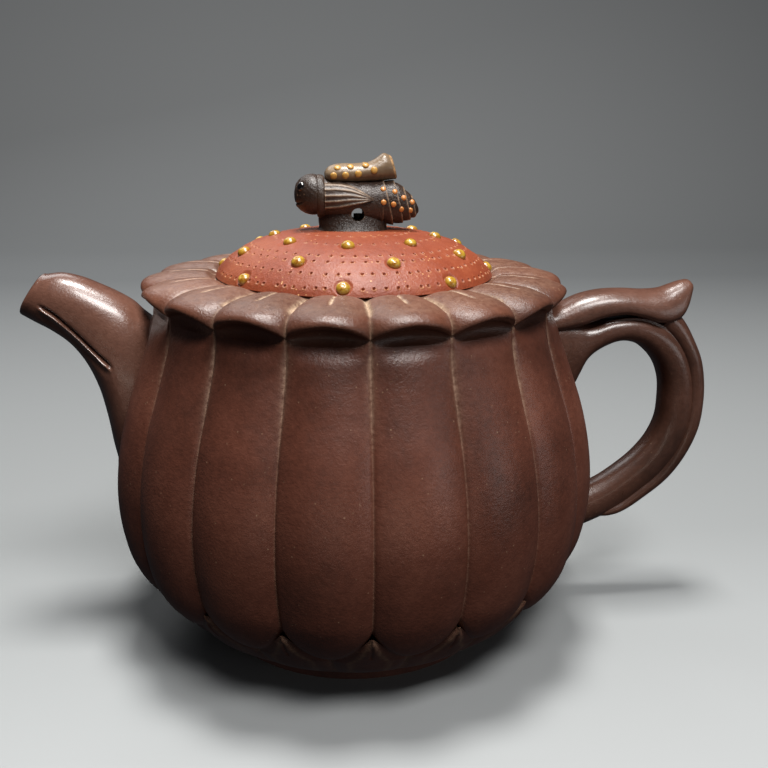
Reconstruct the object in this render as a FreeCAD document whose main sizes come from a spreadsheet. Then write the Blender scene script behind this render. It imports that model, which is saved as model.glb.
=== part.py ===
"""Petal-sided yixing clay teapot: pot body, spout, handle and a lift-off lid with an insect finial.

Millimetres, Z up, the spout towards -X and the handle towards +X.  The foot stands on Z = 0.
"""
import FreeCAD, Part
import math
import os
import Sketcher
from FreeCAD import Placement, Rotation, Vector

X = Vector(1, 0, 0)
Y = Vector(0, 1, 0)
Z = Vector(0, 0, 1)

DIMENSIONS = (
    ("petal_count", 18),
    ("belly_radius", 50.0),
    ("groove_ratio", 0.9715),
    ("clay_wall", 3.2),
    ("foot_radius", 30.0),
    ("foot_bore", 25.0),
    ("base_level", 2.5),
    ("wall_level", 5.7),
    ("neck_level", 70.2),
    ("seat_level", 74.9),
    ("calyx_level", 18.7),
    ("lip_radius", 42.75),
    ("mouth_radius", 23.5),
    ("seat_radius", 28.4),
    ("spout_bore_wall", 1.7),
    ("strainer_hole", 1.2),
    ("handle_half", 4.1),
    ("strap_width", 10.0),
    ("lid_radius", 28.0),
    ("lid_level", 75.1),
    ("lid_top", 84.2),
    ("flange_radius", 23.2),
    ("flange_wall", 2.3),
    ("flange_foot", 66.4),
    ("seed_radius", 1.45),
    ("cord_hole", 1.3),
    ("vent_hole", 1.0),
    ("eye_radius", 1.05),
    ("spot_radius", 0.62),
)

# Height of each level of the petal wall and its crest radius as a share of the belly radius.
WALL_LEVELS = (
    (5.7, 0.702), (9.0, 0.782), (12.0, 0.846), (16.0, 0.914), (20.0, 0.957), (26.0, 0.988),
    (34.0, 1.000), (42.0, 0.984), (50.0, 0.947), (58.0, 0.890), (64.0, 0.850), (70.2, 0.8345),
)

doc = FreeCAD.newDocument("teapot")
sheet = doc.addObject("Spreadsheet::Sheet", "Dims")
dims = {}
for row, (alias, value) in enumerate(DIMENSIONS, start=1):
    cell = "B%d" % row
    sheet.set("A%d" % row, alias)
    sheet.set(cell, str(value))
    sheet.setAlias(cell, alias)
    dims[alias] = float(value)
doc.recompute()

PETALS = int(dims["petal_count"])
PITCH = 360.0 / PETALS


# ---- helpers -----------------------------------------------------------------------------

def size(alias, add=0.0, times=1.0):
    """A driven number: its present value and the expression that keeps it on the sheet."""
    value = dims[alias] * times + add
    return (value, "Dims.%s * %.5f + %.4f" % (alias, times, add))


def number(item):
    return item[0] if isinstance(item, tuple) else float(item)


def origin_part(body, role):
    return [item for item in body.Origin.OriginFeatures if item.Role == role][0]


def new_sketch(body, name, role="XZ_Plane", offset=None):
    sketch = body.newObject("Sketcher::SketchObject", name)
    sketch.AttachmentSupport = (origin_part(body, role), [""])
    sketch.MapMode = "FlatFace"
    if offset is not None:
        sketch.AttachmentOffset = Placement(Vector(0, 0, number(offset)), Rotation())
        if isinstance(offset, tuple):
            sketch.setExpression("AttachmentOffset.Base.z", offset[1])
    return sketch


def pin(sketch, geometry, letter, item):
    """Hold the start of one edge at a sheet-driven distance from the sketch origin."""
    value = number(item)
    if abs(value) < 1e-9:
        axis = -2 if letter == "X" else -1
        sketch.addConstraint(Sketcher.Constraint("PointOnObject", geometry, 1, axis))
        return
    rule = Sketcher.Constraint("Distance" + letter, -1, 1, geometry, 1, value)
    index = sketch.addConstraint(rule)
    if isinstance(item, tuple):
        sketch.setExpression("Constraints[%d]" % index, item[1])


def outline(sketch, corners):
    """Closed outline; a corner's third item lists the points its next edge curves through."""
    spots = [Vector(number(c[0]), number(c[1]), 0) for c in corners]
    edges = []
    for i, corner in enumerate(corners):
        start = spots[i]
        end = spots[(i + 1) % len(spots)]
        through = [Vector(a, b, 0) for a, b in corner[2]] if len(corner) > 2 else []
        if not through:
            edge = Part.LineSegment(start, end)
        elif len(through) == 1:
            edge = Part.Arc(start, through[0], end)
        else:
            edge = Part.BSplineCurve()
            edge.interpolate([start] + through + [end])
        edges.append(sketch.addGeometry(edge))
    for i, geometry in enumerate(edges):
        follower = edges[(i + 1) % len(edges)]
        sketch.addConstraint(Sketcher.Constraint("Coincident", geometry, 2, follower, 1))
    for geometry, corner in zip(edges, corners):
        pin(sketch, geometry, "X", corner[0])
        pin(sketch, geometry, "Y", corner[1])


def revolved(body, name, corners):
    """A solid of revolution about Z from an outline in the XZ plane."""
    sketch = new_sketch(body, name + "_outline")
    outline(sketch, corners)
    feature = body.newObject("PartDesign::Revolution", name)
    feature.Profile = sketch
    feature.ReferenceAxis = (sketch, ["V_Axis"])
    feature.Angle = 360
    doc.recompute()
    return feature


def grooved(body, name, corners):
    """A revolved hollow about Z."""
    sketch = new_sketch(body, name + "_outline")
    outline(sketch, corners)
    feature = body.newObject("PartDesign::Groove", name)
    feature.Profile = sketch
    feature.ReferenceAxis = (sketch, ["V_Axis"])
    feature.Angle = 360
    doc.recompute()
    return feature


def new_body(name):
    return doc.addObject("PartDesign::Body", name)


def polar(radius, degrees):
    turn = math.radians(degrees)
    return Vector(radius * math.cos(turn), radius * math.sin(turn), 0)


def scallop(sketch, crest, ratio):
    """A ring of petal arcs whose ends lie on a groove circle driven by the sheet."""
    groove = (crest[0] * ratio, "(%s) * %.5f" % (crest[1], ratio))
    arcs = []
    for k in range(PETALS):
        middle = k * PITCH
        start = polar(groove[0], middle - PITCH / 2)
        end = polar(groove[0], middle + PITCH / 2)
        arcs.append(sketch.addGeometry(Part.Arc(start, polar(crest[0], middle), end)))
    circle = sketch.addGeometry(Part.Circle(Vector(0, 0, 0), Z, groove[0]), True)
    sketch.addConstraint(Sketcher.Constraint("Coincident", circle, 3, -1, 1))
    for k, arc in enumerate(arcs):
        follower = arcs[(k + 1) % PETALS]
        sketch.addConstraint(Sketcher.Constraint("Coincident", arc, 2, follower, 1))
        sketch.addConstraint(Sketcher.Constraint("PointOnObject", arc, 2, circle))
    for arc in arcs[1:]:
        sketch.addConstraint(Sketcher.Constraint("Equal", arcs[0], arc))
    index = sketch.addConstraint(Sketcher.Constraint("Radius", circle, groove[0]))
    sketch.setExpression("Constraints[%d]" % index, groove[1])


def oval(name, centre, long_way, short_way, major, minor):
    """An elliptical cross-section; long_way and short_way are its unit directions."""
    ring = doc.addObject("Part::Ellipse", name)
    ring.MajorRadius = number(major)
    ring.MinorRadius = number(minor)
    if isinstance(major, tuple):
        ring.setExpression("MajorRadius", major[1])
    if isinstance(minor, tuple):
        ring.setExpression("MinorRadius", minor[1])
    normal = long_way.cross(short_way)
    ring.Placement = Placement(Vector(*centre), Rotation(long_way, short_way, normal, "ZXY"))
    return ring


def lofted(name, rings):
    loft = doc.addObject("Part::Loft", name)
    loft.Sections = rings
    loft.Solid = True
    loft.Ruled = False
    loft.Closed = False
    doc.recompute()
    return loft


def cut(name, base, tool):
    piece = doc.addObject("Part::Cut", name)
    piece.Base = base
    piece.Tool = tool
    doc.recompute()
    return piece


def fused(name, shapes):
    if len(shapes) == 1:
        return shapes[0]
    group = doc.addObject("Part::MultiFuse", name)
    group.Shapes = shapes
    doc.recompute()
    return group


def trimmed(name, base, tools):
    """Base with each tool taken off in turn; the last result carries the node's name."""
    piece = base
    for i, tool in enumerate(tools, start=1):
        last = i == len(tools)
        piece = cut(name if last else "%s_trim%d" % (name, i), piece, tool)
    return piece


def ball(name, centre, radius, pole=Z):
    """A sphere; pole points out of the surface it is set into."""
    item = doc.addObject("Part::Sphere", name)
    item.Radius = number(radius)
    if isinstance(radius, tuple):
        item.setExpression("Radius", radius[1])
    item.Placement = Placement(Vector(*centre), Rotation(Z, pole))
    return item


def rod(name, start, direction, length, radius):
    item = doc.addObject("Part::Cylinder", name)
    item.Radius = number(radius)
    if isinstance(radius, tuple):
        item.setExpression("Radius", radius[1])
    item.Height = length
    item.Placement = Placement(Vector(*start), Rotation(Z, direction))
    return item


# ---- pot body ----------------------------------------------------------------------------

def make_wall():
    """Eighteen pillow petals round the belly, hollow inside, with the tea strainer holes."""
    body = new_body("pot_wall")
    sections = []
    for i, (level, share) in enumerate(WALL_LEVELS):
        sketch = new_sketch(body, "wall_level_%d" % i, "XY_Plane", level)
        scallop(sketch, size("belly_radius", times=share), dims["groove_ratio"])
        sections.append(sketch)
    blank = body.newObject("PartDesign::AdditiveLoft", "wall_blank")
    blank.Profile = sections[0]
    blank.Sections = sections[1:]
    doc.recompute()

    shell = dims["clay_wall"]
    inner = []
    for level, share in WALL_LEVELS:
        groove = dims["belly_radius"] * share * dims["groove_ratio"]
        steep = 1.15 if level < 20 else 1.0
        inner.append((groove - shell * steep, level))
    top = size("neck_level")
    grooved(body, "tea_chamber", (
        (0.0, size("wall_level")),
        (inner[0][0], size("wall_level"), inner[1:-1]),
        (inner[-1][0], top),
        (0.0, top),
    ))

    sketch = new_sketch(body, "strainer_holes", "YZ_Plane")
    spots = [(0.0, 52.0)]
    for k in range(6):
        turn = math.radians(60 * k + 30)
        spots.append((4.3 * math.cos(turn), 52.0 + 4.3 * math.sin(turn)))
    for across, up in spots:
        hole = sketch.addGeometry(Part.Circle(Vector(across, up, 0), Z, dims["strainer_hole"]))
        rule = Sketcher.Constraint("Radius", hole, dims["strainer_hole"])
        index = sketch.addConstraint(rule)
        sketch.setExpression("Constraints[%d]" % index, "Dims.strainer_hole")
    before = body.Shape.Volume
    pocket = body.newObject("PartDesign::Pocket", "strainer")
    pocket.Profile = sketch
    pocket.Length = 60
    doc.recompute()
    if pocket.Shape.Volume > before - 20:
        pocket.Reversed = True
        doc.recompute()
    return body, blank


def make_base():
    """The flat clay disc that closes the pot underneath."""
    body = new_body("base_disc")
    revolved(body, "disc", (
        (0.0, size("base_level")),
        (size("foot_radius", 0.3), size("base_level")),
        (size("belly_radius", times=0.680), size("wall_level")),
        (0.0, size("wall_level")),
    ))
    return body


def make_foot():
    body = new_body("foot_ring")
    revolved(body, "ring", (
        (size("foot_bore"), 0.0),
        (size("foot_radius"), 0.0),
        (size("foot_radius", 0.3), size("base_level")),
        (size("foot_bore", -0.4), size("base_level")),
    ))
    return body


def make_calyx(blank, base):
    """Leaf tips that rise between the petal feet, joined to one cup round the base."""
    body = new_body("calyx_blank")
    revolved(body, "cup", (
        (size("foot_radius", -0.6), size("base_level")),
        (size("foot_radius", 0.8), size("base_level"), [(37.3, 7.0)]),
        (size("belly_radius", times=0.850), 12.1),
        (size("belly_radius", times=0.9195), size("calyx_level")),
        (size("belly_radius", times=0.880), size("calyx_level")),
        (size("belly_radius", times=0.660), size("wall_level", 0.3)),
    ))
    return trimmed("calyx_sepals", body, [blank, base])


def make_shoulder():
    """The ring of petal tops that curls over the neck, grooved between the petals."""
    body = new_body("shoulder_petals")
    revolved(body, "ring", (
        (size("mouth_radius", 3.0), size("neck_level", 1.5)),
        (size("lip_radius", -6.6), size("neck_level", 0.9)),
        (size("lip_radius", -5.6), size("neck_level")),
        (size("lip_radius", -2.05), size("neck_level"), [(41.9, 70.9)]),
        (size("lip_radius"), size("neck_level", 1.9), [(42.3, 73.4), (41.0, 74.3), (38.5, 75.05)]),
        (size("seat_radius", 5.0), size("seat_level", 0.75), [(31.0, 75.55), (29.6, 75.25)]),
        (size("seat_radius"), size("seat_level")),
        (size("mouth_radius", 3.0), size("seat_level")),
    ))

    rim = new_sketch(body, "scalloped_rim", "XY_Plane", size("neck_level", -1.0))
    scallop(rim, size("lip_radius", 0.05), 0.965)
    margin = rim.addGeometry(Part.Circle(Vector(0, 0, 0), Z, dims["lip_radius"] + 6))
    rim.addConstraint(Sketcher.Constraint("Coincident", margin, 3, -1, 1))
    rim.addConstraint(Sketcher.Constraint("Radius", margin, dims["lip_radius"] + 6))
    trim = body.newObject("PartDesign::Pocket", "rim_trim")
    trim.Profile = rim
    trim.Length = 12
    trim.Reversed = True
    doc.recompute()

    vee = new_sketch(body, "vee", "YZ_Plane")
    half = math.radians(PITCH / 2)
    outline(vee, ((-0.9, 76.4), (0.9, 76.4), (0.12, 74.3), (-0.12, 74.3)))
    vee.AttachmentOffset = Placement(Vector(0, 0, 0), Rotation(Y, math.degrees(half)))
    groove = body.newObject("PartDesign::Pocket", "petal_groove")
    groove.Profile = vee
    groove.Length = 50
    groove.Reversed = True
    doc.recompute()
    pattern = body.newObject("PartDesign::PolarPattern", "petal_grooves")
    pattern.Originals = [groove]
    pattern.Axis = (origin_part(body, "Z_Axis"), [""])
    pattern.Angle = 360
    pattern.Occurrences = PETALS
    body.Tip = pattern
    doc.recompute()
    return body


def make_collar():
    """The thickened ring round the mouth that the lid sits on."""
    body = new_body("mouth_collar")
    revolved(body, "ring", (
        (size("mouth_radius"), size("neck_level", -1.6)),
        (size("mouth_radius", 3.0), size("neck_level", -1.6)),
        (size("mouth_radius", 3.0), size("seat_level")),
        (size("mouth_radius"), size("seat_level")),
    ))
    return body


# Spout cross-sections: centre x and z, direction from lower to upper edge, half heights.
SPOUT = (
    (-64.2, 71.6, 57.0, 4.80, 4.60),
    (-61.3, 70.9, 60.0, 5.60, 5.20),
    (-57.9, 69.6, 61.0, 6.20, 5.80),
    (-54.1, 67.3, 62.5, 6.85, 6.40),
    (-50.9, 64.3, 64.5, 8.10, 7.10),
    (-48.6, 60.9, 67.0, 9.80, 7.70),
    (-47.1, 57.1, 69.5, 11.80, 8.20),
    (-45.7, 53.0, 70.9, 14.30, 8.50),
    (-43.7, 47.8, 72.3, 17.00, 8.50),
)


def spout_rings(prefix, stations, shrink, ahead):
    rings = []
    for i, (x, z, tilt, tall, wide) in enumerate(stations):
        turn = math.radians(tilt)
        up = Vector(math.cos(turn), 0, math.sin(turn))
        centre = Vector(x, 0, z)
        if i == 0 and ahead:
            centre = centre + Vector(-math.sin(turn), 0, math.cos(turn)) * ahead
        major = size("spout_bore_wall", tall, -1.0) if shrink else tall
        minor = size("spout_bore_wall", wide, -1.0) if shrink else wide
        rings.append(oval("%s_%d" % (prefix, i), centre, up, Y, major, minor))
    return rings


def make_spout(blank):
    outside = lofted("spout_outside", spout_rings("spout_ring", SPOUT, False, 0.0))
    bore = lofted("spout_bore", spout_rings("bore_ring", SPOUT, True, 1.5))
    return trimmed("spout", outside, [blank, bore]), outside


def make_folds(outside):
    """A thin raised fold along each cheek of the spout."""
    line = ((-61.8, 70.0, 5.10), (-59.2, 68.1, 5.50), (-56.0, 65.2, 5.95), (-54.0, 63.2, 6.25),
            (-51.6, 60.8, 6.70), (-49.4, 58.6, 7.20))
    cords = []
    for side, sign in (("right", -1), ("left", 1)):
        rings = []
        for i, (x, z, y) in enumerate(line):
            along = Vector(-0.71, 0, 0.70)
            slim = 0.35 if i in (0, len(line) - 1) else 0.75
            name = "fold_%s_%d" % (side, i)
            rings.append(oval(name, (x, sign * y, z), Y, Y.cross(along), slim + 0.1, slim))
        cords.append(lofted("fold_" + side, rings))
    return trimmed("spout_folds", fused("folds", cords), [outside])


# Handle cross-sections: outer edge x and z, direction from inner to outer, thickness, width.
HANDLE = (
    (38.5, 65.5, 102.0, 16.9, 9.8),
    (43.5, 65.8, 101.5, 16.5, 9.7),
    (46.4, 65.1, 99.0, 12.3, 9.5),
    (48.9, 64.3, 95.6, 8.2, 9.1),
    (54.6, 65.6, 95.0, 5.8, 8.8),
    (61.3, 65.7, 76.0, 6.0, 8.8),
    (67.2, 63.2, 52.0, 6.8, 8.8),
    (71.4, 58.6, 31.0, 7.0, 8.8),
    (73.6, 53.6, 19.0, 7.1, 8.7),
    (74.7, 47.2, 4.0, 7.4, 8.6),
    (74.5, 41.3, -9.0, 7.5, 8.5),
    (72.6, 35.3, -24.0, 7.7, 8.3),
    (68.9, 29.7, -38.0, 7.9, 8.2),
    (63.4, 24.5, -53.0, 8.1, 8.0),
    (58.5, 20.9, -66.0, 8.4, 8.0),
    (53.4, 18.3, -72.0, 8.6, 8.0),
    (47.0, 16.0, -75.0, 8.8, 8.0),
    (41.0, 14.8, -80.0, 8.8, 8.0),
)


def make_handle(blank):
    rings = []
    for i, (x, z, tilt, thick, wide) in enumerate(HANDLE):
        turn = math.radians(tilt)
        out = Vector(math.cos(turn), 0, math.sin(turn))
        centre = Vector(x, 0, z) - out * (thick / 2)
        across = size("handle_half", wide / 2 - 4.1)
        rings.append(oval("loop_ring_%d" % i, centre, *ordered(out, across, thick / 2)))
    loop = lofted("handle_solid", rings)
    return cut("handle_loop", loop, blank), loop


def ordered(out, across, deep):
    """Axes and radii of a section, the longer first."""
    if number(across) >= deep:
        return Y, out, across, deep
    return out, -Y, deep, across


SPINE = (
    (69.4, 67.0, 48.0, 1.6), (71.0, 64.4, 42.0, 2.0), (73.3, 60.7, 33.0, 2.3),
    (75.4, 56.4, 24.0, 2.4), (76.7, 50.8, 11.0, 2.4), (77.0, 46.1, 3.0, 2.3),
    (76.5, 40.6, -9.0, 2.2), (74.5, 34.9, -24.0, 2.1), (70.7, 29.0, -39.0, 1.9),
    (65.2, 24.1, -52.0, 1.8), (60.3, 20.8, -62.0, 1.6), (56.4, 19.0, -67.0, 1.2),
)


def make_spine(loop, strap):
    """The outer band that runs down the back of the loop and fades out near its foot."""
    rings = []
    for i, (x, z, tilt, deep) in enumerate(SPINE):
        turn = math.radians(tilt)
        out = Vector(math.cos(turn), 0, math.sin(turn))
        centre = Vector(x, 0, z) - out * deep
        across = size("handle_half", -0.25)
        rings.append(oval("spine_ring_%d" % i, centre, Y, out, across, deep))
    band = lofted("spine_band", rings)
    return trimmed("handle_spine", band, [loop, strap])


def make_strap():
    """Flat strap over the handle, from the neck to the turned-up thumb rest."""
    body = new_body("strap_blank")
    sketch = new_sketch(body, "strap_side")
    outline(sketch, (
        (38.5, 62.8),
        (38.5, 66.0, [(43.5, 68.4), (47.3, 70.2), (51.6, 71.2), (57.0, 71.45),
                      (61.9, 71.25), (65.2, 71.5), (67.4, 72.3), (69.5, 72.75), (71.1, 72.3)]),
        (71.9, 70.9, [(71.6, 68.3), (70.4, 66.3), (68.1, 65.1), (64.8, 65.0), (61.5, 65.8),
                      (57.4, 66.1), (52.4, 65.5), (47.6, 63.9), (43.5, 63.2)]),
    ))
    pad = body.newObject("PartDesign::Pad", "strap")
    pad.Profile = sketch
    pad.Length = dims["strap_width"]
    pad.Midplane = True
    pad.setExpression("Length", "Dims.strap_width")
    doc.recompute()
    return body


# ---- lid ---------------------------------------------------------------------------------

def make_flange():
    body = new_body("lid_flange")
    revolved(body, "ring", (
        (size("flange_radius", -2.3), size("flange_foot")),
        (size("flange_radius", -0.3), size("flange_foot")),
        (size("flange_radius"), size("flange_foot", 0.6)),
        (size("flange_radius"), size("lid_level", -0.15)),
        (size("flange_radius", -2.3), size("lid_level", -0.15)),
    ))
    return body


def make_cap(vent):
    body = new_body("cap_blank")
    top = size("lid_top")
    revolved(body, "dome", (
        (0.0, size("lid_top", -3.3)),
        (0.0, top, [(4.0, 84.17), (8.0, 84.05), (12.0, 83.7), (17.0, 82.7), (20.5, 81.55),
                    (23.5, 79.95), (26.0, 78.05), (27.55, 76.25)]),
        (size("lid_radius"), size("lid_level")),
        (size("flange_radius", -2.3), size("lid_level"), [(20.7, 76.6), (19.0, 78.3),
                                                          (15.0, 79.8), (8.0, 80.75)]),
    ))
    return trimmed("lid_cap", body, [vent])


SEED_RINGS = ((27.0, 76.9, 0.0), (22.8, 80.45, 0.5), (16.5, 82.82, 0.0))


def make_seeds(cap):
    """Three rings of eight clay seeds set into the lid."""
    balls = []
    for ring, (radius, level, shift) in enumerate(SEED_RINGS):
        for k in range(8):
            angle = -98.0 + 45.0 * (k + shift)
            spot = polar(radius - 0.35, angle)
            centre = (spot.x, spot.y, level - 0.35)
            balls.append(ball("seed_%d_%d" % (ring, k), centre, size("seed_radius")))
    return cut("lid_seeds", fused("seed_balls", balls), cap)


# ---- insect finial -----------------------------------------------------------------------

def oval_x(name, x, z, tall, wide, y=0.0, tilt=0.0):
    """Section across the insect: centre x, z, half height, half width, lean in degrees."""
    turn = math.radians(tilt)
    up = Vector(math.sin(turn), 0, math.cos(turn))
    if tall >= wide:
        return oval(name, (x, y, z), up, Y, tall, wide)
    return oval(name, (x, y, z), Y, -up, wide, tall)


def insect_loft(name, stations):
    rings = []
    for i, station in enumerate(stations):
        rings.append(oval_x("%s_%d" % (name, i), *station))
    return lofted(name, rings)


CHEST = (
    (-6.6, 90.5, 3.75, 3.7), (-4.0, 90.1, 4.15, 4.1), (-1.0, 89.8, 4.3, 4.3),
    (2.0, 89.6, 4.3, 4.25), (4.6, 89.5, 4.3, 4.1),
)
TAIL = (
    (4.6, 89.5, 4.3, 4.1), (6.4, 89.45, 4.35, 3.95), (8.2, 89.3, 4.2, 3.6),
    (9.9, 88.9, 3.4, 3.0), (11.3, 88.5, 2.45, 2.2), (12.4, 88.1, 1.45, 1.4),
    (12.95, 87.9, 0.6, 0.6),
)
CASE = (
    (-5.6, 94.7, 1.2, 2.2), (-4.3, 95.0, 1.7, 2.8), (-2.4, 95.1, 1.9, 3.0),
    (0.4, 95.15, 1.9, 3.0), (3.3, 95.5, 1.95, 2.9), (5.2, 96.0, 2.35, 2.7),
    (6.6, 96.45, 2.55, 2.4), (7.9, 96.1, 2.0, 1.8),
)


def flank(stations, x, z):
    """Half width of a finial piece at a height on one of its flanks."""
    for left, right in zip(stations, stations[1:]):
        if left[0] <= x <= right[0]:
            share = (x - left[0]) / (right[0] - left[0])
            middle, tall, wide = (a + (b - a) * share for a, b in zip(left[1:], right[1:]))
            lift = min(0.98, abs(z - middle) / tall)
            return wide * math.sqrt(1 - lift * lift)
    raise ValueError("no station at %s" % x)


def make_insect(cap, vent):
    hole = rod("cord_rod", (0.5, -12, 87.3), Y, 24, size("cord_hole"))
    chest = insect_loft("chest", CHEST)
    tail = insect_loft("tail", TAIL)
    trimmed("insect_thorax", chest, [hole, vent])
    cut("insect_abdomen", tail, chest)

    pad = insect_loft_up("pad_solid", (
        (-0.3, 83.6, 7.4, 5.9), (-0.3, 84.7, 6.8, 4.5), (-0.3, 85.6, 6.9, 4.0),
        (-0.3, 86.6, 6.9, 3.7), (-0.3, 87.6, 6.7, 3.5), (-0.3, 88.4, 6.3, 3.3),
    ))
    trimmed("finial_pad", pad, [chest, tail, cap, hole, vent])

    skull = ball("skull", (-7.9, 0, 91.0), 4.05)
    ring = doc.addObject("Part::Torus", "collar_ring")
    ring.Radius1 = 3.55
    ring.Radius2 = 0.75
    ring.Placement = Placement(Vector(-6.5, 0, 90.6), Rotation(Z, X))
    head = trimmed("insect_head", skull, [chest, pad])
    trimmed("insect_collar", ring, [chest, skull, pad])

    eyes = [ball("eye_%d" % k, (-10.45, y, 92.55), size("eye_radius"))
            for k, y in enumerate((-2.3, 2.3))]
    cut("insect_eyes", fused("eye_pair", eyes), head)

    case = insect_loft("case_solid", CASE)
    trimmed("insect_back_case", case, [chest, tail, ring, skull])

    for side, sign in (("right", -1), ("left", 1)):
        make_wing(side, sign, chest, ring, hole, case)
    make_spots(tail, case)


def insect_loft_up(name, stations):
    rings = [oval("%s_%d" % (name, i), (x, 0, z), X, Y, long_half, wide_half)
             for i, (x, z, long_half, wide_half) in enumerate(stations)]
    return lofted(name, rings)


def make_wing(side, sign, chest, ring, hole, case):
    """A folded wing pad against one flank, from the collar back to a point."""
    body = new_body("wing_blank_" + side)
    sketch = new_sketch(body, "wing_side_" + side)
    outline(sketch, (
        (-5.6, 93.0, [(-2.4, 92.95), (0.4, 92.4)]),
        (3.6, 90.4, [(1.2, 89.3), (-2.0, 88.7)]),
        (-5.6, 88.2),
    ))
    pad = body.newObject("PartDesign::Pad", "wing_" + side)
    pad.Profile = sketch
    pad.Length = 5.0
    pad.Reversed = sign > 0
    doc.recompute()
    slab = cut("wing_trim_" + side, body, chest)
    return trimmed("insect_wing_" + side, slab, [ring, hole, case])


TAIL_DOTS = ((5.5, 89.7), (5.5, 92.2), (7.5, 89.3), (7.8, 91.7), (9.1, 88.3), (9.6, 90.5),
             (11.0, 88.0), (11.4, 89.6))
CASE_DOTS = ((-4.2, 94.7), (-1.9, 94.8), (0.6, 95.1), (3.7, 95.8),
             (-3.4, 96.2), (-0.9, 96.4), (2.1, 96.7))


def make_spots(tail, case):
    """Dots of lighter clay in slanted rows on the abdomen and two rows on the back case."""
    for name, places, stations, solid, extra in (
            ("insect_abdomen_spots", TAIL_DOTS, TAIL, tail, 0.0),
            ("insect_case_spots", CASE_DOTS, CASE, case, 0.1)):
        dots = []
        for k, (x, z) in enumerate(places):
            for sign in (-1, 1):
                side = sign * (flank(stations, x, z) - 0.2)
                dot = "%s_%d_%d" % (name, k, (sign + 1) // 2)
                dots.append(ball(dot, (x, side, z), size("spot_radius", extra), Y * sign))
        cut(name, fused(name + "_balls", dots), solid)


# ---- assembly ----------------------------------------------------------------------------

wall, wall_blank = make_wall()
base_disc = make_base()
make_foot()
make_calyx(wall_blank, base_disc)
make_shoulder()
make_collar()
spout, spout_outside = make_spout(wall_blank)
make_folds(spout_outside)
handle, handle_solid = make_handle(wall_blank)
strap_body = make_strap()
thumb_rest = trimmed("thumb_rest", strap_body, [wall_blank, handle_solid])
make_spine(handle_solid, strap_body)
make_flange()
vent_rod = rod("vent_rod", (0.8, 0, 78.0), Z, 9.1, size("vent_hole"))
lid_cap = make_cap(vent_rod)
make_seeds(lid_cap)
make_insect(lid_cap, vent_rod)

NODES = (
    "pot_wall", "base_disc", "foot_ring", "calyx_sepals", "shoulder_petals", "mouth_collar",
    "spout", "spout_folds", "handle_loop", "handle_spine", "thumb_rest",
    "lid_flange", "lid_cap", "lid_seeds", "finial_pad", "insect_thorax", "insect_head",
    "insect_collar", "insect_eyes", "insect_wing_left", "insect_wing_right",
    "insect_abdomen", "insect_back_case", "insect_abdomen_spots", "insect_case_spots",
)

doc.recompute()
for item in doc.Objects:
    for word in ("Invalid", "Error"):
        if word in item.State:
            raise RuntimeError("%s is %s" % (item.Label, word))

os.makedirs("parts", exist_ok=True)
for name in NODES:
    item = doc.getObject(name)
    item.Label = name
    shape = item.Shape
    if shape.isNull() or not shape.isValid() or not shape.Solids:
        raise RuntimeError("%s has no valid solid" % name)
    shape.exportStep("parts/%s.step" % name)
    box = shape.BoundBox
    print("%-22s solids %2d volume %9.1f x %7.2f..%7.2f y %7.2f..%7.2f z %6.2f..%6.2f" % (
        name, len(shape.Solids), shape.Volume,
        box.XMin, box.XMax, box.YMin, box.YMax, box.ZMin, box.ZMax))
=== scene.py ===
"""Visual model of a petal-sided yixing clay teapot.

The meshes are worked out in millimetres in the frame of the CAD model and stored in metres.
Angles round the pot are measured from +X; the spout points to -X and the handle to +X.
"""
import math

import bmesh
import bpy
import numpy as np
from mathutils import Matrix, Vector


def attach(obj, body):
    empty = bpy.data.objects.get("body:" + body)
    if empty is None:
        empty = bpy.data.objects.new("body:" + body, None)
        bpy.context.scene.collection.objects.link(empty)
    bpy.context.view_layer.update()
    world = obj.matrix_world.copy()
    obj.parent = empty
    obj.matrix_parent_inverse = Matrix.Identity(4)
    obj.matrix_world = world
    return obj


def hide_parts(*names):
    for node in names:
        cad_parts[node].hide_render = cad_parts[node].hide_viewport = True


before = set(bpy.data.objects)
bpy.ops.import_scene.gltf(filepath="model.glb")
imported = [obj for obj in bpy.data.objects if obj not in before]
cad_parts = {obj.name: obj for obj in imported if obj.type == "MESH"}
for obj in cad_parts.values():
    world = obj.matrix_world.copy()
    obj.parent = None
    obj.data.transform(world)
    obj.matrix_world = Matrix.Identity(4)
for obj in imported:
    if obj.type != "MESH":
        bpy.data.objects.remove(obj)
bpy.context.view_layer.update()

MM = 0.001
PETALS = 18
PITCH = 2 * math.pi / PETALS
RNG = np.random.default_rng(18)
SHARP = math.radians(55)


# ---- helpers: curves ---------------------------------------------------------------------

def spline(xs, ys):
    """Smooth curve through points, as a function of the first list."""
    xs, ys = np.asarray(xs, float), np.asarray(ys, float)
    slope = np.empty_like(ys)
    span = np.diff(xs)
    rise = np.diff(ys) / span
    slope[0], slope[-1] = rise[0], rise[-1]
    slope[1:-1] = (rise[:-1] * span[1:] + rise[1:] * span[:-1]) / (span[1:] + span[:-1])

    def at(x):
        x = np.clip(np.asarray(x, float), xs[0], xs[-1])
        i = np.clip(np.searchsorted(xs, x, side="right") - 1, 0, len(span) - 1)
        h = span[i]
        t = (x - xs[i]) / h
        return ((2 * t**3 - 3 * t**2 + 1) * ys[i] + (t**3 - 2 * t**2 + t) * h * slope[i]
                + (3 * t**2 - 2 * t**3) * ys[i + 1] + (t**3 - t**2) * h * slope[i + 1])
    return at


def along(points, count):
    """Points spread evenly by length along a smooth curve through the given rows."""
    points = np.asarray(points, float)
    step = np.linalg.norm(np.diff(points[:, :2], axis=0), axis=1)
    reach = np.concatenate([[0], np.cumsum(step)])
    reach /= reach[-1]
    wanted = np.linspace(0, 1, count)
    return np.stack([spline(reach, column)(wanted) for column in points.T], axis=-1)


def bell(distance, width):
    """1 at no distance, falling smoothly to 0 past the width."""
    return np.exp(-(distance / width) ** 2)


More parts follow.
